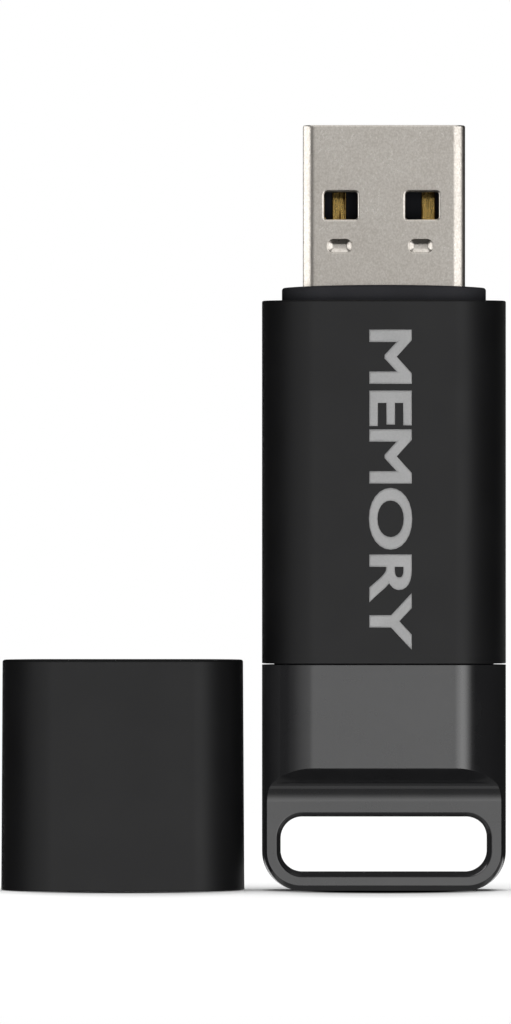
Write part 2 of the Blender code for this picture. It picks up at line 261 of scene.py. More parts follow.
# Hard gold over nickel on the contacts, its grain drawn out along their length by the die; the dark brown
# second colour along that grain is painted reflection, dark streaks standing in for what the gold reflects.
GOLD_PLATE = Finish(
    "gold-plated phosphor bronze",
    "f2cc78",
    "2e1c08",
    0.24,
    0.08,
    metallic=1.0,
    grain_mm=0.16,
    relief_mm=0.012,
    patch_mm=0.5,
    grain_share=0.8,
    stretch=(1.0, 1.0, 0.05),
)
# Liquid-crystal polymer of the tongue: near black with a cold tint.
TONGUE_POLYMER = Finish("moulded liquid-crystal polymer", "08090e", "0b0c12", 0.6, 0.06, specular=0.08)
# Screen-printed ink: an even light grey with slightly ragged gloss.
PRINT_INK = Finish("screen-printed grey ink", "b4b4b4", "a6a6a6", 0.55, 0.06, grain_mm=0.14, relief_mm=0.002)
# Fibreglass under green solder mask: glassy, with the weave just felt.
BOARD_MASK = Finish("green solder mask", "0f5132", "0b4429", 0.30, 0.05, grain_mm=0.45, relief_mm=0.006)
# Transfer-moulded epoxy of the chip packages: sooty black and finely pitted.
CHIP_EPOXY = Finish("transfer-moulded epoxy", "1c1c1e", "232325", 0.58, 0.06, grain_mm=0.08, relief_mm=0.005)
# Drawn and plated lid of the crystal: pale and bright.
CRYSTAL_LID = Finish("nickel-plated kovar", "d4d2cc", "c4c2bc", 0.25, 0.05, metallic=1.0, relief_mm=0.001)
# Fired ceramic of the capacitors: tan, with a dry shine.
FIRED_CERAMIC = Finish("fired barium titanate", "a88a66", "967954", 0.48, 0.06, grain_mm=0.06)
# Fired ferrite of the bead: charcoal grey.
FIRED_FERRITE = Finish("fired ferrite", "3c3c40", "46464a", 0.5, 0.06, grain_mm=0.06)
# Glazed film of the resistors: glossy black.
GLAZED_FILM = Finish("glazed thick film", "16161a", "1e1e22", 0.3, 0.05, grain_mm=0.06)


# Shaping


class Form:
    """A bmesh on the bench, with the shaping steps that the pieces share."""

    def __init__(self) -> None:
        """Starts with nothing."""
        self.mesh = bmesh.new()

    @classmethod
    def block(cls, low: Vector, high: Vector) -> "Form":
        """A block between two corners."""
        form = cls()
        place = Matrix.Translation((low + high) / 2) @ Matrix.Diagonal((*(high - low), 1))
        bmesh.ops.create_cube(form.mesh, size=1, matrix=place)
        return form

    @classmethod
    def pillar(cls, half: tuple[float, float], radius: float, levels: tuple[float, float]) -> "Form":
        """A block with rounded upright edges, centred on the Z axis.

        Args:
            half: Half its width and half its depth.
            radius: Radius of the upright edges.
            levels: Its bottom and its top.

        Returns:
            The new form.
        """
        form = cls.block(Vector((-half[0], -half[1], levels[0])), Vector((*half, levels[1])))
        form.round_edges(form.edges_along(Axis.Z), radius, 16)
        return form

    @classmethod
    def copy_of(cls, mesh: bpy.types.Mesh) -> "Form":
        """A form that starts from a finished mesh."""
        form = cls()
        form.mesh.from_mesh(mesh)
        return form

    @property
    def parts(self) -> list[BMVert | BMEdge | BMFace]:
        """Every corner, edge and face."""
        return [*self.mesh.verts, *self.mesh.edges, *self.mesh.faces]

    def edges_along(self, axis: Axis) -> list[BMEdge]:
        """The edges that run parallel to an axis."""
        return [
            edge
            for edge in self.mesh.edges
            if (edge.verts[1].co - edge.verts[0].co).cross(axis.vector).length < TOUCH
        ]

    def faces_at(self, axis: Axis, level: float) -> list[BMFace]:
        """The faces that lie in the plane at this level of an axis."""
        return [
            face
            for face in self.mesh.faces
            if all(abs(corner.co[axis.value] - level) < TOUCH for corner in face.verts)
        ]

    def rim(self, axis: Axis, level: float) -> list[BMEdge]:
        """The edges where the faces at a level turn down into the sides.

        Args:
            axis: The direction that those faces look along.
            level: Their place on that axis.

        Returns:
            The edges, in no order.
        """
        flat = set(self.faces_at(axis, level))
        return [edge for edge in self.mesh.edges if len(flat & set(edge.link_faces)) == 1]

    def round_edges(
        self, edges: list[BMEdge], radius: float, segments: int = 4, clamp: bool = True
    ) -> None:
        """Rounds edges to a radius.

        Args:
            edges: The edges to round.
            radius: The radius, in metres.
            segments: How many flats stand for the arc.
            clamp: Whether short neighbours may hold the radius down.
        """
        bmesh.ops.bevel(
            self.mesh,
            geom=edges,
            offset=radius,
            offset_type="OFFSET",
            segments=segments,
            profile=0.5,
            affect="EDGES",
            material=-1,
            clamp_overlap=clamp,
        )

    def inset(self, face: BMFace, margin: float) -> BMFace:
        """Draws the outline of a face again, a margin further in, and returns the inner face."""
        bmesh.ops.inset_region(self.mesh, faces=[face], thickness=margin, use_even_offset=True)
        return face

    def pull(self, face: BMFace, move: Vector) -> BMFace:
        """Extrudes a face.

        Args:
            face: The face to pull out or push in.
            move: How far, as a vector.

        Returns:
            The face at the end of the extrusion.
        """
        made = bmesh.ops.extrude_face_region(self.mesh, geom=[face])["geom"]
        bmesh.ops.translate(self.mesh, vec=move, verts=[part for part in made if isinstance(part, BMVert)])
        return next(part for part in made if isinstance(part, BMFace))

    def open_along_z(self, wall: float) -> None:
        """Makes a block a tube along Z, with a wall of even thickness."""
        levels = sorted({round(corner.co.z, 7) for corner in self.mesh.verts})
        ends = [self.faces_at(Axis.Z, level)[0] for level in (levels[0], levels[-1])]
        inner_edges = []
        for end in ends:
            inner_edges += self.inset(end, wall).edges
        bmesh.ops.delete(self.mesh, geom=ends, context="FACES_ONLY")
        bmesh.ops.bridge_loops(self.mesh, edges=inner_edges)
        bmesh.ops.recalc_face_normals(self.mesh, faces=self.mesh.faces)

    def carved(self, *tools: "Form") -> "Form":
        """Cuts closed forms out of this one, and uses them up."""
        return self.combined("DIFFERENCE", tools)

    def joined(self, *others: "Form") -> "Form":
        """Makes this form and other closed ones a single body, and uses them up."""
        return self.combined("UNION", others)

    def combined(self, operation: str, tools: "tuple[Form, ...]") -> "Form":
        """Runs an exact Boolean with each tool in turn.

        Args:
            operation: DIFFERENCE or UNION.
            tools: The other forms.

        Returns:
            The resulting form.
        """
        body = self.as_object("bench_body")
        helpers = [tool.as_object("bench_tool") for tool in tools]
        for helper in helpers:
            step = body.modifiers.new("combine", "BOOLEAN")
            step.operation = operation
            step.solver = "EXACT"
            step.object = helper
        bpy.context.view_layer.update()
        graph = bpy.context.evaluated_depsgraph_get()
        result = Form.copy_of(bpy.data.meshes.new_from_object(body.evaluated_get(graph)))
        for used in (body, *helpers):
            bpy.data.objects.remove(used)
        bmesh.ops.remove_doubles(result.mesh, verts=result.mesh.verts, dist=TOUCH)
        return result

    def as_object(self, name: str) -> Object:
        """Turns the form into an object at the origin, and frees it."""
        mesh = bpy.data.meshes.new(name)
        self.mesh.to_mesh(mesh)
        self.mesh.free()
        made = bpy.data.objects.new(name, mesh)
        bpy.context.scene.collection.objects.link(made)
        return made


def settle(
    piece: Object, body: Body, finish: Finish, slot: str, *nodes: str, smooth: bool = True
) -> Object:
    """Finishes a piece: shading, material, the body that it rides on and what it stands for.

    Args:
        piece: The object, with its place in its mesh.
        body: The rigid body that it moves with.
        finish: Its surface.
        slot: The record's material slot; not used.
        nodes: The CAD nodes that it replaces.
        smooth: Whether its curved faces are shaded as one.

    Returns:
        The same object.
    """
    mesh = piece.data
    mesh.materials.clear()
    mesh.materials.append(finish.material())
    if smooth:
        mesh.shade_smooth()
        mesh.set_sharp_from_angle(angle=CRISP)
        even = piece.modifiers.new("even shading", "WEIGHTED_NORMAL")
        even.keep_sharp = True
        even.weight = 100
    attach(piece, body.value)
    if nodes:
        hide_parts(*nodes)
    log.info("%s: %d faces on body %s", piece.name, len(mesh.polygons), body.value)
    return piece


# Drive


@dataclass
class Housing:
    """The sleeve, its print and the loop tail, which share one rounded section.

    Attributes:
        radius: Corner radius of the section.
        wall: Wall of the sleeve.
        rim: Rounding of the seam between sleeve and tail.
        mouth_rim: Rounding of the sleeve's open end.
        arc_steps: Flats that stand for a quarter turn of a corner.
        corner: Radius of the tail's two lower corners, seen from the front.
        plate: Half the thickness of the plate that holds the slot.
        base_edge: Chamfer of the tail's lower edge.
        shelf_top: Height at which the shelf over the plate meets the front.
        shelf_slope: Fall of the shelf towards the plate.
        shelf_fillet: Radius of the hollow between shelf and plate.
        slot_half: Half the width of the key-ring slot.
        slot_low: Lower edge of the slot.
        slot_high: Upper edge of the slot.
        slot_corner: Radius of the slot's corners.
        slot_edge: Chamfer of the slot's mouth.
        slot_blend: Rounding outside that chamfer.
        arch_edge: Rounding of the crease between the outside and the shelf.
        seam_gap: Width of the groove between sleeve and tail.
        slip: Play between the sleeve and the spigot in it.
        pocket_bottom: Floor of the hollow in the spigot.
        print_size: Length, height and thickness of the printed word.
        print_place: Middle of the word, across and up.
        low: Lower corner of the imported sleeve.
        high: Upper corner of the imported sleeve.
        spigot_top: Top of the spigot.
    """

    radius: float = 3.85 * MM
    wall: float = 0.8 * MM
    rim: float = 0.05 * MM
    mouth_rim: float = 0.12 * MM
    arc_steps: int = 20
    corner: float = 2.9 * MM
    plate: float = 2.3 * MM
    base_edge: float = 0.4 * MM
    shelf_top: float = 9.1 * MM
    shelf_slope: float = math.radians(35.5)
    shelf_fillet: float = 1.92 * MM
    slot_half: float = 7.65 * MM
    slot_low: float = 1.33 * MM
    slot_high: float = 5.49 * MM
    slot_corner: float = 1.6 * MM
    slot_edge: float = 0.29 * MM
    slot_blend: float = 0.06 * MM
    arch_edge: float = 0.28 * MM
    seam_gap: float = 0.1 * MM
    slip: float = 0.1 * MM
    pocket_bottom: float = 10.3 * MM
    print_size: tuple[float, float, float] = (23.6 * MM, 3.2 * MM, 0.02 * MM)
    print_place: tuple[float, float] = (0.45 * MM, 29.65 * MM)
    low: Vector = field(default_factory=lambda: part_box("housing_sleeve")[0])
    high: Vector = field(default_factory=lambda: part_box("housing_sleeve")[1])
    spigot_top: float = field(default_factory=lambda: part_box("tail_loop")[1].z)

    def sleeve(self) -> Object:
        """The one-piece tube between the tail and the collar."""
        form = Form.block(self.low, self.high)
        form.round_edges(form.edges_along(Axis.Z), self.radius, self.arc_steps)
        form.open_along_z(self.wall)
        for level, radius in ((self.low.z, self.rim), (self.high.z, self.mouth_rim)):
            form.round_edges(form.rim(Axis.Z, level), radius, 3)
        piece = form.as_object("sleeve")
        return settle(piece, Body.DRIVE, SATIN_PLASTIC, "satin_black_plastic", "housing_sleeve")

    def print_word(self) -> Object:
        """A generic word in grey ink, reading down the front of the sleeve."""
        text = bpy.data.curves.new("print_outline", "FONT")
        text.body = "MEMORY"
        text.align_x = "CENTER"
        text.align_y = "CENTER"
        text.extrude = 0.01
        text.bevel_depth = 0.03
        text.bevel_resolution = 0
        text.resolution_u = 6
        drawn = bpy.data.objects.new("print_outline", text)
        bpy.context.scene.collection.objects.link(drawn)
        bpy.context.view_layer.update()
        graph = bpy.context.evaluated_depsgraph_get()
        mesh = bpy.data.meshes.new_from_object(drawn.evaluated_get(graph))
        bpy.data.objects.remove(drawn)
        form = Form.copy_of(mesh)
        corners = [corner.co for corner in form.mesh.verts]
        low = Vector([min(point[part] for point in corners) for part in range(3)])
        high = Vector([max(point[part] for point in corners) for part in range(3)])
        length, height, film = self.print_size
        across, up = self.print_place
        centre = Vector((across, self.low.y - film / 4, up))
        drawn_size = high - low
        squeeze = Matrix.Diagonal((length / drawn_size.x, height / drawn_size.y, film / drawn_size.z, 1))
        stand_up = Matrix.Rotation(math.radians(90), 4, "X")
        read_down = Matrix.Rotation(math.radians(90), 4, "Y")
        to_middle = Matrix.Translation(-(low + high) / 2)
        place = Matrix.Translation(centre) @ read_down @ stand_up @ squeeze @ to_middle
        bmesh.ops.transform(form.mesh, matrix=place, verts=form.mesh.verts)
        bmesh.ops.remove_doubles(form.mesh, verts=form.mesh.verts, dist=TOUCH)
        piece = form.as_object("sleeve_print")
        return settle(piece, Body.DRIVE, PRINT_INK, "satin_black_plastic", smooth=False)

    def side_inset(self, depth: float) -> float:
        """How far the rounded section has drawn in from full width at a depth from the middle."""
        run = max(0.0, depth - (self.high.y - self.radius))
        return self.radius - math.sqrt(max(0.0, self.radius**2 - run**2))

    def base_inset(self, depth: float) -> float:
        """How far the chamfered lower edge has drawn in at a depth from the middle."""
        return max(0.0, depth - (self.plate - self.base_edge))

    def shelf_height(self, depth: float) -> float:
        """Height of the shelf over the loop: a hollow fillet off the plate, then a straight slope."""
        start = self.plate + self.shelf_fillet * (1 - math.sin(self.shelf_slope))
        rise = (self.high.y - start) * math.tan(self.shelf_slope)
        centre = self.shelf_top - rise - self.shelf_fillet * math.cos(self.shelf_slope)
        if depth >= start:
            return self.shelf_top - (self.high.y - depth) * math.tan(self.shelf_slope)
        run = self.plate + self.shelf_fillet - depth
        return centre + math.sqrt(max(0.0, self.shelf_fillet**2 - run**2))

    def depths(self) -> list[float]:
        """The depths from the middle at which the tail's outline is drawn, out to the front.

        One lies at every 3 degrees of the section's corner, and one at every 6 degrees of the shelf's
        fillet and a little way beyond it.
        """
        centre = self.high.y - self.radius
        turns = [math.radians(3 * step) for step in range(31)]
        section = [centre + self.radius * math.sin(turn) for turn in turns]
        edge = [self.plate - self.base_edge]
        fillet = [self.plate + self.shelf_fillet * (1 - math.cos(turn)) for turn in turns[1:22:2]]
        levels = sorted({round(depth, 6) for depth in [*section, *edge, *fillet, self.plate]})
        return [depth for depth in levels if depth < self.high.y + TOUCH]

    def tail_half(self) -> Form:
        """The front half of the tail, drawn at the middle plane and extruded forwards in steps."""
        half = self.high.x
        sheet = Vector((half, TOUCH, 0))
        form = Form.block(-sheet, sheet + Vector((0, 0, self.low.z - self.seam_gap)))
        feet = [edge for edge in form.edges_along(Axis.Y) if edge.verts[0].co.z < TOUCH]
        form.round_edges(feet, self.corner, self.arc_steps)
        front = form.faces_at(Axis.Y, -TOUCH)
        others = [face for face in form.mesh.faces if face not in front]
        bmesh.ops.delete(form.mesh, geom=others, context="FACES")
        bmesh.ops.translate(form.mesh, vec=(0, TOUCH, 0), verts=form.mesh.verts)
        split = self.shelf_height(self.plate)
        bmesh.ops.bisect_plane(form.mesh, geom=form.parts, plane_co=(0, 0, split), plane_no=(0, 0, 1))
        home = form.mesh.verts.layers.int.new("home")
        outline = []
        for index, corner in enumerate(form.mesh.verts):
            corner[home] = index
            outline.append((corner.co.copy(), self.outward(corner.co, half)))
        faces = list(form.mesh.faces)
        for depth in self.depths():
            made = bmesh.ops.extrude_face_region(form.mesh, geom=faces)["geom"]
            passed = [face for face in faces if face.is_valid]
            bmesh.ops.delete(form.mesh, geom=passed, context="FACES_ONLY")
            faces = [part for part in made if isinstance(part, BMFace)]
            for corner in (part for part in made if isinstance(part, BMVert)):
                rest, outward = outline[corner[home]]
                corner.co = (
                    rest.x - outward.x * self.side_inset(depth),
                    -depth,
                    rest.z - outward.z * self.base_inset(depth),
                )
                if depth > self.plate + TOUCH and abs(rest.z - split) < TOUCH:
                    corner.co.z = self.shelf_height(depth)
            if abs(depth - self.plate) < TOUCH:
                faces = [face for face in faces if face.calc_center_median().z > split]
        return form

    def outward(self, point: Vector, half: float) -> Vector:
        """The direction that the tail's outline faces at a point of its front view."""
        across = abs(point.x) - (half - self.corner)
        down = self.corner - point.z
        if down > 0 and across > 0:
            return Vector((math.copysign(across, point.x), 0, -down)).normalized()
        if point.z < TOUCH:
            return Vector((0, 0, -1))
        return Vector((math.copysign(1.0, point.x), 0, 0))

    def tail(self) -> Object:
        """The loop tail: two scooped faces, a rounded slot, and a hollow spigot that enters the sleeve."""
        form = self.tail_half()
        bmesh.ops.mirror(form.mesh, geom=form.parts, axis="Y", merge_dist=TOUCH)
        bmesh.ops.remove_doubles(form.mesh, verts=form.mesh.verts, dist=TOUCH)
        bmesh.ops.recalc_face_normals(form.mesh, faces=form.mesh.faces)
        form.round_edges([edge for edge in form.mesh.edges if self.on_arch(edge)], self.arch_edge, 5)
        seam = self.low.z - self.seam_gap
        form.round_edges(form.rim(Axis.Z, seam), self.rim, 2)
        spigot = self.socket(self.wall + self.slip, (seam - MM, self.spigot_top))
        pocket = self.socket(2 * self.wall + self.slip, (self.pocket_bottom, self.spigot_top + MM))
        reach = Vector((self.slot_half, self.high.y, 0))
        slot = Form.block(-reach + Vector((0, 0, self.slot_low)), reach + Vector((0, 0, self.slot_high)))
        slot.round_edges(slot.edges_along(Axis.Y), self.slot_corner, self.arc_steps)
        form = form.joined(spigot).carved(slot, pocket)
        for level in (-self.plate, self.plate):
            ring = [edge for edge in form.rim(Axis.Y, level) if self.in_slot(edge)]
            form.round_edges(ring, self.slot_edge, 1)
            ring = [edge for edge in form.rim(Axis.Y, level) if self.in_slot(edge, self.slot_edge)]
            form.round_edges(ring, self.slot_blend, 3)
        piece = settle(form.as_object("tail"), Body.DRIVE, GLOSS_PLASTIC, "gloss_grey_plastic", "tail_loop")
        piece.data.materials.append(MATT_NYLON.material())
        for face in piece.data.polygons:
            if all(piece.data.vertices[corner].co.z > seam - TOUCH for corner in face.vertices):
                face.material_index = 1
        return piece

    def on_arch(self, edge: BMEdge) -> bool:
        """Whether an edge is the crease between the outside and the shelf over the loop."""
        if len(edge.link_faces) != 2 or edge.calc_face_angle() < math.radians(30):
            return False
        low = self.shelf_height(self.plate)
        return all(
            low + TOUCH < corner.co.z < self.shelf_top + TOUCH and abs(corner.co.y) > self.plate
            for corner in edge.verts
        )

    def socket(self, wall: float, levels: tuple[float, float]) -> Form:
        """A pillar that follows the housing's section, a wall further in."""
        half = (self.high.x - wall, self.high.y - wall)
        return Form.pillar(half, self.radius - wall, levels)

    def in_slot(self, edge: BMEdge, margin: float = 0.0) -> bool:
        """Whether an edge belongs to the slot's mouth, or to one that is a margin wider."""
        reach = margin + TOUCH
        return all(
            abs(corner.co.x) < self.slot_half + reach
            and self.slot_low - reach < corner.co.z < self.slot_high + reach
            for corner in edge.verts
        )


@dataclass
class Collar:
    """The front plug of the housing, which the metal plug comes out of.

    Attributes:
        nose_half: Half the width and depth of the part that shows.
        nose_radius: Radius of its upright edges.
        nose_lift: How far above the flange's underside it starts.
        hole_half: Half the width and depth of the hole for the plug.
        hole_radius: Radius of the hole's upright edges.
        crown: Radius of the domed top.
        crown_cuts: Cuts either side of the middle, a millimetre apart, that let the top bend.
        edge: Rounding between top and side.
        flange_radius: Radius of the flange's upright edges.
        low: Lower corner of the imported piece.
        high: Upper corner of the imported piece.
        flange_top: Top of the flange, level with the sleeve's end.
    """

    nose_half: tuple[float, float] = (7.55 * MM, 3.25 * MM)
    nose_radius: float = 2.6 * MM
    nose_lift: float = 0.3 * MM
    hole_half: tuple[float, float] = (6.1 * MM, 2.35 * MM)
    hole_radius: float = 0.8 * MM
    crown: float = 150 * MM
    crown_cuts: int = 6
    edge: float = 0.22 * MM
    flange_radius: float = 2.95 * MM
    low: Vector = field(default_factory=lambda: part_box("front_collar")[0])
    high: Vector = field(default_factory=lambda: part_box("front_collar")[1])
    flange_top: float = field(default_factory=lambda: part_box("housing_sleeve")[1].z)

    def build(self) -> Object:
        """A domed nose on a flange that fills the mouth of the sleeve."""
        nose = Form.pillar(self.nose_half, self.nose_radius, (self.low.z + self.nose_lift, self.high.z))
        for step in range(-self.crown_cuts, self.crown_cuts + 1):
            place = (step * MM, 0, 0)
            bmesh.ops.bisect_plane(nose.mesh, geom=nose.parts, plane_co=place, plane_no=(1, 0, 0))
        for corner in nose.mesh.verts:
            if abs(corner.co.z - self.high.z) < TOUCH:
                corner.co.z -= corner.co.x**2 / (2 * self.crown)
        rim = [edge for edge in nose.mesh.edges if self.on_rim(edge)]
        nose.round_edges(rim, self.edge, 4)
        flange = Form.pillar((self.high.x, self.high.y), self.flange_radius, (self.low.z, self.flange_top))
        hole = Form.pillar(self.hole_half, self.hole_radius, (self.low.z - MM, self.high.z + MM))
        form = nose.joined(flange).carved(hole)
        piece = form.as_object("collar")
        return settle(piece, Body.DRIVE, MATT_NYLON, "matt_black_plastic", "front_collar")

    def on_rim(self, edge: BMEdge) -> bool:
        """Whether an edge lies between the domed top and the side."""
        high = all(corner.co.z > self.flange_top for corner in edge.verts)
        return high and len(edge.link_faces) == 2 and edge.calc_face_angle() > math.radians(60)


@dataclass
class Plug:
    """The metal plug: folded shell, tongue and four contacts.

    Attributes:
        radius: Outer radius of the shell's long edges.
        sheet: Thickness of the shell.
        lip: Rounding of the shell's open end.
        shell_bottom: Where the tube starts and the solder legs end.
        leg_half: Half the depth of a leg.
        window_half: Half the width and height of a latch window.
        window_place: How far each window is from the middle of the pair, and its height.
        window_shift: How far the pair is from the middle of the plug.
        window_corner: Radius of a window's corners.
        window_rim: Rounding of its rim.
        dimple_half: Half the width and height of a pressed dimple.
        dimple_place: As for the windows.
        dimple_shift: As for the windows.
        dimple_sink: Depth of a dimple.
        dimple_lip: Rounding of its rim.
        punch_corner: Corner radius of the punch, and its depth until it is flattened, as a part of
            the dimple's half height.
        punch_flank: Width of its slanting sides, as a part of that radius.
        punch_soft: Rounding at its floor, as a part of that radius.
        seam_half: Half the width, depth and length of the back seam.
        seam_drop: From the plug's tip down to the middle of the seam.
        contact_corner: Radius of a contact's corners.
        contact_edge: Rounding of its front edges.
        low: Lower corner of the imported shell.
        high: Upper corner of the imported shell.
    """

    radius: float = 0.92 * MM
    sheet: float = 0.3 * MM
    lip: float = 0.14 * MM
    shell_bottom: float = 38.0 * MM
    leg_half: float = 0.9 * MM
    window_half: tuple[float, float] = (1.22 * MM, 1.0 * MM)
    window_place: tuple[float, float] = (3.0 * MM, 50.64 * MM)
    window_shift: float = -0.19 * MM
    window_corner: float = 0.2 * MM
    window_rim: float = 0.19 * MM
    dimple_half: tuple[float, float] = (0.84 * MM, 0.46 * MM)
    dimple_place: tuple[float, float] = (3.0 * MM, 47.65 * MM)
    dimple_shift: float = -0.30 * MM
    dimple_sink: float = 0.25 * MM
    dimple_lip: float = 0.10 * MM
    punch_corner: float = 0.84
    punch_flank: float = 0.76
    punch_soft: float = 0.12
    seam_half: tuple[float, float, float] = (0.03 * MM, 0.06 * MM, 10 * MM)
    seam_drop: float = 9.4 * MM
    contact_corner: float = 0.3 * MM
    contact_edge: float = 0.05 * MM
    low: Vector = field(default_factory=lambda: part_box("plug_shell")[0])
    high: Vector = field(default_factory=lambda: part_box("plug_shell")[1])

    def shell(self) -> Object:
        """The folded steel tube, with its windows, dimples, back seam and solder legs."""
        form = Form.pillar((self.high.x, self.high.y), self.radius, (self.shell_bottom, self.high.z))
        form.open_along_z(self.sheet)
        form.round_edges(form.rim(Axis.Z, self.high.z), self.lip, 4)
        tools = []
        for side in (-1, 1):
            for face in (-1, 1):
                tools.append(self.window(side, face))
                tools.append(self.dimple(side, face))
        form = form.carved(*tools, self.seam())
        for level in (self.low.y, self.high.y):
            for half, place, shift, radius in (
                (self.window_half, self.window_place, self.window_shift, self.window_rim),
                (self.dimple_half, self.dimple_place, self.dimple_shift, self.dimple_lip),
            ):
                ring = [edge for edge in form.rim(Axis.Y, level) if self.near(edge, half, place, shift)]
                form.round_edges(ring, radius, 4, clamp=False)
        legs = [self.leg(side) for side in (-1, 1)]
        piece = form.joined(*legs).as_object("plug")
        return settle(piece, Body.DRIVE, PLUG_STEEL, "plug_sheet_steel", "plug_shell")

    def opening(self, half: tuple[float, float], centre: Vector, depth: float, corner: float) -> Form:
        """A tool that cuts a rounded rectangle into the front or back face."""
        reach = Vector((half[0], depth, half[1]))
        tool = Form.block(centre - reach, centre + reach)
        tool.round_edges(tool.edges_along(Axis.Y), corner, 10)
        return tool

    def window(self, side: int, face: int) -> Form:
        """The tool for one latch window."""
        across, up = self.window_place
        centre = Vector((self.window_shift + side * across, face * self.high.y, up))
        return self.opening(self.window_half, centre, 2 * self.sheet, self.window_corner)

    def dimple(self, side: int, face: int) -> Form:
        """The tool for one dimple: a punch with broad slanting sides, softened at its floor."""
        across, up = self.dimple_place
        centre = Vector((self.dimple_shift + side * across, face * self.high.y, up))
        depth = self.punch_corner * self.dimple_half[1]
        tool = self.opening(self.dimple_half, centre, depth, depth)
        floor = face * (self.high.y - depth)
        tool.round_edges(tool.rim(Axis.Y, floor), self.punch_flank * depth, 1)
        tool.round_edges(tool.rim(Axis.Y, floor), self.punch_soft * depth, 3)
        flatten = Matrix.Diagonal((1, self.dimple_sink / depth, 1, 1))
        place = Matrix.Translation(centre) @ flatten @ Matrix.Translation(-centre)
        bmesh.ops.transform(tool.mesh, matrix=place, verts=tool.mesh.verts)
        return tool

    def seam(self) -> Form:
        """The tool for the hairline where the folded sheet meets itself at the back."""
        half = Vector(self.seam_half)
        centre = Vector((0, self.high.y, self.high.z - self.seam_drop))
        return Form.block(centre - half, centre + half)

    def leg(self, side: int) -> Form:
        """A solder leg under one side wall."""
        across = side * (self.high.x - self.sheet / 2)
        low = Vector((across - self.sheet / 2, -self.leg_half, self.low.z))
        high = Vector((across + self.sheet / 2, self.leg_half, self.shell_bottom + self.sheet))
        return Form.block(low, high)

    def near(
        self, edge: BMEdge, half: tuple[float, float], place: tuple[float, float], shift: float
    ) -> bool:
        """Whether an edge belongs to one of a pair of openings.

        Args:
            edge: The edge.
            half: Half the width and height of an opening.
            place: How far each is from the middle of the pair, and its height.
            shift: How far the pair is from the middle of the plug.

        Returns:
            True when both ends are in one of the openings.
        """
        return all(
            abs(abs(corner.co.x - shift) - place[0]) < half[0] + TOUCH
            and abs(corner.co.z - place[1]) < half[1] + TOUCH
            for corner in edge.verts
        )

    def contacts(self) -> list[Object]:
        """Four gold strips with rounded corners and softened front edges."""
        made = []
        for name in ("contact_power", "contact_data_minus", "contact_data_plus", "contact_ground"):
            low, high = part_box(name)
            strip = Form.block(low, high)
            strip.round_edges(strip.edges_along(Axis.Y), self.contact_corner, 6)
            front = strip.faces_at(Axis.Y, low.y)
            rim = [edge for face in front for edge in face.edges]
            strip.round_edges(rim, self.contact_edge, 3)
            piece = strip.as_object(name.replace("contact", "gold"))
            made.append(settle(piece, Body.DRIVE, GOLD_PLATE, "gold_contact", name))
        return made


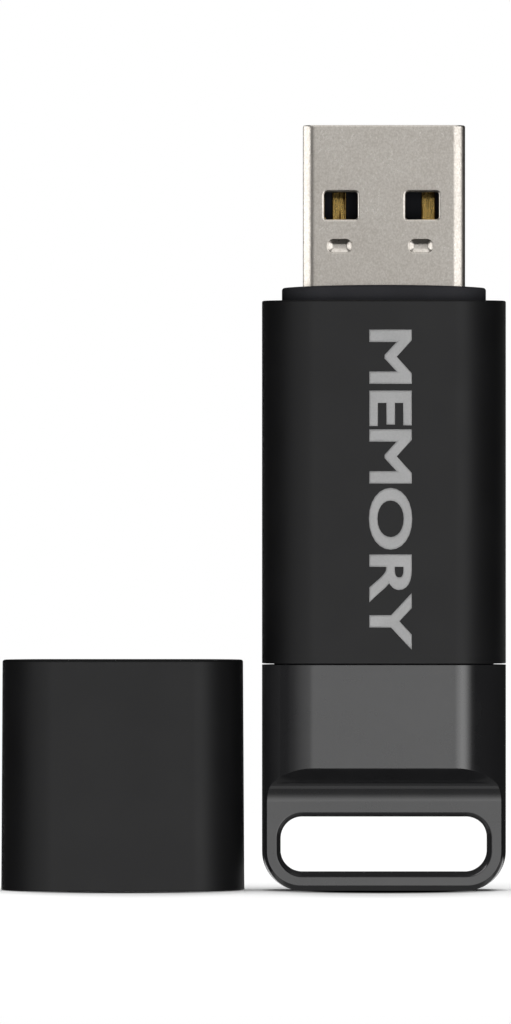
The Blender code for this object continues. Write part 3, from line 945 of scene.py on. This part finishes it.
@dataclass
class Cap:
    """The push-on cap and the liner that grips the plug.

    Attributes:
        radius: Radius of its upright edges at the mouth.
        draft: Width at the top over width at the mouth.
        edge: Rounding of the closed end.
        mouth_edge: Rounding of the mouth.
        wall: Side wall.
        roof: Thickness of the closed end.
        gap: How much smaller the liner's corner radius is than that of the wall's inside.
        cavity_half: Half the width and depth of the cavity for the plug.
        cavity_top: Height of the cavity's roof.
        cavity_radius: Radius of the cavity's upright edges.
        cavity_rim: Rounding of the way in.
        rib: Half the size of a grip rib.
        rib_across: How far each rib is from the middle.
        low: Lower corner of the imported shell.
        high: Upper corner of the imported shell.
        liner_low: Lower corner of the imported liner.
        liner_high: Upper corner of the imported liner.
    """

    radius: float = 3.8 * MM
    draft: float = 17.8 / 18.0
    edge: float = 0.16 * MM
    mouth_edge: float = 0.1 * MM
    wall: float = 0.8 * MM
    roof: float = 1.0 * MM
    gap: float = 0.2 * MM
    cavity_half: tuple[float, float] = (6.1 * MM, 2.35 * MM)
    cavity_top: float = 13.6 * MM
    cavity_radius: float = 0.8 * MM
    cavity_rim: float = 0.25 * MM
    rib: Vector = field(default_factory=lambda: Vector((0.3, 0.08, 5.1)) * MM)
    rib_across: float = 4.0 * MM
    low: Vector = field(default_factory=lambda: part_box("cap_shell")[0])
    high: Vector = field(default_factory=lambda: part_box("cap_shell")[1])
    liner_low: Vector = field(default_factory=lambda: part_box("cap_liner")[0])
    liner_high: Vector = field(default_factory=lambda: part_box("cap_liner")[1])

    @property
    def middle(self) -> Vector:
        """Foot of the cap's upright axis."""
        return Vector(((self.low.x + self.high.x) / 2, 0, 0))

    def move_home(self, form: Form) -> None:
        """Shifts a form from the Z axis to the cap's own axis."""
        bmesh.ops.translate(form.mesh, vec=self.middle, verts=form.mesh.verts)

    def shell(self) -> Object:
        """The hollow outer cup, mouth down, a hair narrower at its closed end."""
        half = ((self.high.x - self.low.x) / 2, self.high.y)
        form = Form.pillar(half, self.radius, (0, self.high.z))
        floor = form.inset(form.faces_at(Axis.Z, 0)[0], self.wall)
        form.pull(floor, Vector((0, 0, self.high.z - self.roof)))
        form.round_edges(form.rim(Axis.Z, self.high.z), self.edge, 4)
        form.round_edges(form.rim(Axis.Z, 0), self.mouth_edge, 3)
        for corner in form.mesh.verts:
            corner.co.x *= 1 - (1 - self.draft) * corner.co.z / self.high.z
        self.move_home(form)
        piece = form.as_object("cap")
        return settle(piece, Body.CAP, SATIN_PLASTIC, "satin_black_plastic", "cap_shell")

    def liner(self) -> Object:
        """The block inside, with a cavity for the plug and four ribs that grip it."""
        half = ((self.liner_high.x - self.liner_low.x) / 2, self.liner_high.y)
        radius = self.radius - self.wall - self.gap
        form = Form.pillar(half, radius, (self.liner_low.z, self.liner_high.z))
        form.round_edges(form.rim(Axis.Z, self.liner_low.z), self.mouth_edge, 3)
        form = form.carved(Form.pillar(self.cavity_half, self.cavity_radius, (0, self.cavity_top)))
        mouth = form.rim(Axis.Z, self.liner_low.z)
        form.round_edges([edge for edge in mouth if self.in_cavity(edge)], self.cavity_rim, 4)
        ribs = []
        for across in (-self.rib_across, self.rib_across):
            for face in (-1, 1):
                middle = Vector((across, face * self.cavity_half[1], self.cavity_top - MM - self.rib.z))
                ribs.append(Form.block(middle - self.rib, middle + self.rib))
        form = form.joined(*ribs)
        self.move_home(form)
        piece = form.as_object("liner")
        return settle(piece, Body.CAP, NATURAL_ABS, "natural_plastic", "cap_liner")

    def in_cavity(self, edge: BMEdge) -> bool:
        """Whether an edge is on the rim of the plug's cavity."""
        wide, deep = self.cavity_half
        return all(
            abs(corner.co.x) < wide + TOUCH and abs(corner.co.y) < deep + TOUCH for corner in edge.verts
        )


@dataclass(frozen=True)
class Inside:
    """The pieces behind the housing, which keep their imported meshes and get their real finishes."""

    finishes: tuple[tuple[str, Finish], ...] = (
        ("carrier", NATURAL_ABS),
        ("plug_insulator", TONGUE_POLYMER),
        ("circuit_board", BOARD_MASK),
        ("flash_memory", CHIP_EPOXY),
        ("controller", CHIP_EPOXY),
        ("voltage_regulator", CHIP_EPOXY),
        ("surge_protector", CHIP_EPOXY),
        ("clock_crystal", CRYSTAL_LID),
        ("ferrite_bead", FIRED_FERRITE),
        ("capacitor", FIRED_CERAMIC),
        ("resistor", GLAZED_FILM),
    )

    def dress(self) -> None:
        """Gives every carried-over piece the finish that its name starts with."""
        for piece in frame_pieces():
            for start, finish in self.finishes:
                if piece.name.startswith(start):
                    for place in piece.material_slots:
                        place.material = finish.material()
                    log.info("%s: %s", piece.name, finish.name)


def frame_pieces() -> list[Object]:
    """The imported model's own meshes."""
    return [piece for piece in bpy.data.objects if "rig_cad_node" in piece]


@dataclass
class Studio:
    """Floor, lights and camera.

    Attributes:
        distance: From the camera to the point it aims at.
        view_height: Height of the view at that distance.
        front: Distance of the large softbox.
        front_size: Its width and height.
        front_drop: How far its middle is below that point.
        floor_half: Half the width of the floor.
        shut_reach: How near something has to be for the painted floor shadow to show.
        foot_forward: How far in front of a body's middle its painted shadow oval is centred.
        aim: The point that camera and lights aim at.
    """

    distance: float = 1.0
    view_height: float = 75.85 * MM
    front: float = 1.15
    front_size: tuple[float, float] = (4.2, 3.0)
    front_drop: float = 0.9
    floor_half: float = 0.25
    shut_reach: float = 30 * MM
    foot_forward: float = 2.6 * MM
    aim: Vector = field(default_factory=lambda: Vector((-9.507 * MM, 0.0, 28.0 * MM)))

    def camera(self) -> None:
        """A level camera with a long lens, straight in front."""
        data = bpy.data.cameras.new("camera")
        data.sensor_width = 36.0
        data.lens = data.sensor_width * self.distance / self.view_height
        data.clip_start = 0.01
        data.clip_end = 50.0
        made = bpy.data.objects.new("camera", data)
        made.location = self.aim - Vector((0, self.distance, 0))
        made.rotation_euler = (math.radians(90), 0, 0)
        bpy.context.scene.collection.objects.link(made)
        bpy.context.scene.camera = made

    def panel(
        self, name: str, place: Vector, size: tuple[float, float], radiance: float, lit: list[Object]
    ) -> Object:
        """Hangs a soft rectangular light that faces the object.

        Args:
            name: Name of the light.
            place: Its middle, from the point that it aims at.
            size: Its width and height.
            radiance: How bright its surface looks, where 1 is paper white.
            lit: The objects that it lights.

        Returns:
            The light's object.
        """
        data = bpy.data.lights.new(name, "AREA")
        data.shape = "RECTANGLE"
        data.size, data.size_y = size
        data.energy = radiance * math.pi * size[0] * size[1]
        made = bpy.data.objects.new(name, data)
        made.location = self.aim + place
        made.rotation_euler = (-place).to_track_quat("-Z", "Y").to_euler()
        bpy.context.scene.collection.objects.link(made)
        chosen = bpy.data.collections.new(name)
        for piece in lit:
            chosen.objects.link(piece)
        made.light_linking.receiver_collection = chosen
        return made

    def softbox(self, name: str, radiance: float, lit: list[Object]) -> None:
        """The large front softbox, whose brightness changes across and up its cloth."""
        across = ((-62, 0.0), (-46, 0.06), (-38, 0.12), (-31, 0.17), (-14, 0.27), (-9, 0.30), (-4, 0.48))
        across += ((2, 0.50), (8, 0.72), (18, 1.0), (25, 0.85), (33, 0.38), (40, 0.06), (48, 0.0))
        up = ((-54, 0.0), (-45, 0.04), (-36, 0.12), (-27, 0.38), (-18, 0.95), (-11, 1.3), (-4, 1.0))
        up += ((16, 1.0), (22, 0.0))
        width, height = self.front_size
        made = self.panel(name, Vector((0, -self.front, -self.front_drop)), self.front_size, radiance, lit)
        made.rotation_euler = (math.radians(90), 0, 0)
        made.data.use_nodes = True
        tree = made.data.node_tree
        cloth = add_node(tree, "ShaderNodeNewGeometry").outputs["Parametric"]
        parts = add_node(tree, "ShaderNodeSeparateXYZ", {0: cloth})
        sideways = self.falloff(tree, parts.outputs[0], across, width, 0.0)
        upwards = self.falloff(tree, parts.outputs[1], up, height, self.front_drop)
        strength = add_node(tree, "ShaderNodeMath", {0: sideways, 1: upwards}, operation="MULTIPLY")
        tree.links.new(strength.outputs[0], tree.nodes["Emission"].inputs["Strength"])

    def falloff(
        self,
        tree: NodeTree,
        along: NodeSocket,
        steps: tuple[tuple[float, float], ...],
        length: float,
        rise: float,
    ) -> NodeSocket:
        """Brightness along one side of the softbox.

        Args:
            tree: The light's node tree.
            along: Place along that side, from 0 to 1.
            steps: Angle in degrees, seen from the object, and brightness there.
            length: Length of the side.
            rise: How far the point it aims at is above the softbox's middle.

        Returns:
            The brightness.
        """
        ramp = add_node(tree, "ShaderNodeValToRGB", {0: along})
        marks = ramp.color_ramp.elements
        while len(marks) < len(steps):
            marks.new(0.5)
        for mark, (degrees, strength) in zip(marks, steps):
            mark.position = 0.5 + (self.front * math.tan(math.radians(degrees)) + rise) / length
            mark.color = (strength, strength, strength, 1)
        return ramp.outputs[0]

    def lights(self) -> None:
        """A shaped softbox in front, cards at the sides and behind, a table's bounce and a ceiling.

        Each lights only its own group of pieces, so that bright metal can stand beside dark plastic.
        """
        model = [piece for piece in bpy.data.objects if piece.type == "MESH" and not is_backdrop(piece)]
        gold = [piece for piece in model if piece.name.startswith("gold")]
        steel = [piece for piece in model if piece.name == "plug"]
        metal = steel + gold
        ground = [piece for piece in bpy.data.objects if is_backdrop(piece)]
        plastic = [piece for piece in model if piece not in metal]
        satin = [piece for piece in model if piece.name in ("sleeve", "cap")]
        gloss = [piece for piece in model if piece.name == "tail"]
        matt = [piece for piece in plastic if piece not in gloss]
        self.softbox("front_softbox", 4.6, plastic)
        self.panel("table_bounce", Vector((0, 0, -0.5)), (4.0, 4.0), 0.24, plastic)
        self.panel("table_before", Vector((0, -0.15, -0.5)), (2.0, 0.14), 0.5, gloss)
        self.panel("table_behind", Vector((0, 0.19, -0.5)), (2.0, 0.18), 0.4, gloss)
        self.panel("ceiling", Vector((0, 0, 1.0)), (1.2, 1.2), 0.6, plastic)
        self.panel("tail_left", Vector((-0.45, -0.3, 0.6)), (0.5, 0.5), 6.0, gloss)
        self.panel("rear_matt", Vector((0.1, 1.1, -0.5)), (1.6, 0.7), 3.0, matt)
        self.panel("rear_gloss", Vector((0.1, 1.1, -0.5)), (1.6, 0.7), 0.9, gloss)
        self.panel("rear_metal", Vector((-0.1, 1.2, 0.25)), (0.9, 1.0), 0.9, metal)
        self.panel("sleeve_left", Vector((-0.75, -0.85, 0)), (0.8, 0.8), 1.1, satin)
        self.panel("plug_front", Vector((0, -1.05, 0.37)), (0.95, 0.95), 0.85, steel)
        self.panel("gold_above", Vector((0.1, -0.8, 0.45)), (0.8, 0.6), 6.0, gold)
        self.panel("plug_top", Vector((0, -0.1, 0.6)), (0.6, 0.8), 1.5, metal)
        self.panel("plug_left", Vector((-0.5, 0.02, 0)), (0.95, 0.7), 2.2, metal)
        self.panel("plug_right", Vector((0.42, -0.34, 0)), (0.8, 0.7), 2.0, metal)
        self.panel("floor_light", Vector((0, 0, 1.0)), (1.2, 1.2), 3.9, ground)

    def world(self) -> None:
        """White behind the object, and dim where only reflections look."""
        world = bpy.data.worlds.new("studio")
        world.use_nodes = True
        tree = world.node_tree
        tree.nodes.clear()
        seen = add_node(tree, "ShaderNodeLightPath").outputs["Is Camera Ray"]
        dim = add_node(tree, "ShaderNodeBackground", {"Color": (1, 1, 1, 1), "Strength": 0.02})
        white = add_node(tree, "ShaderNodeBackground", {"Color": (1, 1, 1, 1), "Strength": 1.0})
        mixed = add_node(tree, "ShaderNodeMixShader", {0: seen, 1: dim.outputs[0], 2: white.outputs[0]})
        add_node(tree, "ShaderNodeOutputWorld", {"Surface": mixed.outputs[0]})
        bpy.context.scene.world = world

    def floor(self) -> None:
        """A plain pale floor for the camera alone, with painted contact shadow only where a body stands at
        rest.
        """
        form = Form()
        bmesh.ops.create_grid(form.mesh, x_segments=1, y_segments=1, size=self.floor_half)
        piece = form.as_object("floor")
        piece.data.materials.append(self.floor_material())
        piece.visible_glossy = False
        piece.visible_diffuse = False
        piece.visible_shadow = False
        piece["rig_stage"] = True

    def floor_material(self) -> Material:
        """White card, with painted contact shadow near the feet of the two bodies wherever something closes
        it in.
        """
        made = bpy.data.materials.new("white studio card")
        made.use_nodes = True
        tree = made.node_tree
        shader = tree.nodes["Principled BSDF"]
        shader.inputs["Roughness"].default_value = 0.9
        shader.inputs["Specular IOR Level"].default_value = 0.0
        place = add_node(tree, "ShaderNodeTexCoord").outputs["Object"]
        closed = add_node(tree, "ShaderNodeAmbientOcclusion", {"Distance": self.shut_reach}, samples=16)
        shut = {"Value": closed.outputs["AO"], "From Min": 0.8, "From Max": 0.95, "To Min": 1, "To Max": 0}
        shut = add_node(tree, "ShaderNodeMapRange", shut).outputs[0]
        light = None
        # Painted contact shadow under each body: a dark core oval and a faint wide fringe, shown only where
        # ambient occlusion finds something near.
        painted_shadow_core = (Vector((8.6, 7.4, 1)), (0.6, 1.0), 1.0)
        painted_shadow_fringe = (Vector((9.4, 21.0, 1)), (0.6, 1.0), 0.22)
        for half, reach, strength in (painted_shadow_core, painted_shadow_fringe):
            for foot in (Vector((0, 0, 0)), Cap().middle):
                middle = foot - Vector((0, self.foot_forward, 0))
                share = self.painted_shadow_oval(tree, place, middle, half * MM, reach)
                inputs = {0: share, 1: shut}
                share = add_node(tree, "ShaderNodeMath", inputs, operation="MULTIPLY").outputs[0]
                inputs = {0: share, 1: -strength, 2: 1.0}
                left = add_node(tree, "ShaderNodeMath", inputs, operation="MULTIPLY_ADD").outputs[0]
                if light:
                    inputs = {0: light, 1: left}
                    left = add_node(tree, "ShaderNodeMath", inputs, operation="MULTIPLY").outputs[0]
                light = left
        colours = {0: light, 6: linear("000000"), 7: linear("f4f4f4")}
        tone = add_node(tree, "ShaderNodeMix", colours, data_type="RGBA")
        tree.links.new(tone.outputs[2], shader.inputs["Base Color"])
        return made

    def painted_shadow_oval(
        self, tree: NodeTree, place: NodeSocket, centre: Vector, half: Vector, reach: tuple[float, float]
    ) -> NodeSocket:
        """An oval patch of painted shadow that fades out at its edge.

        Args:
            tree: The floor's node tree.
            place: Position on the floor.
            centre: Middle of the patch.
            half: Half its width and length.
            reach: Where it starts and stops fading, as parts of its half size.

        Returns:
            1 inside the patch and 0 outside.
        """
        away = add_node(tree, "ShaderNodeVectorMath", {0: place, 1: centre}, operation="SUBTRACT").outputs[0]
        away = add_node(tree, "ShaderNodeVectorMath", {0: away, 1: half}, operation="DIVIDE").outputs[0]
        away = add_node(tree, "ShaderNodeVectorMath", {0: away}, operation="LENGTH").outputs["Value"]
        fade = {"Value": away, "From Min": reach[0], "From Max": reach[1], "To Min": 1, "To Max": 0}
        return add_node(tree, "ShaderNodeMapRange", fade).outputs[0]

    def build(self) -> None:
        """Sets the whole studio up."""
        self.camera()
        self.floor()
        self.lights()
        self.world()
        bpy.context.scene.view_settings.view_transform = "Standard"


def main() -> None:
    """Builds every piece in order, then the studio."""
    logging.basicConfig(level=logging.INFO, format="%(name)s: %(message)s")
    housing = Housing()
    housing.sleeve()
    housing.print_word()
    housing.tail()
    Collar().build()
    plug = Plug()
    plug.shell()
    plug.contacts()
    cap = Cap()
    cap.shell()
    cap.liner()
    Inside().dress()
    Studio().build()


if __name__ == "__main__":
    main()
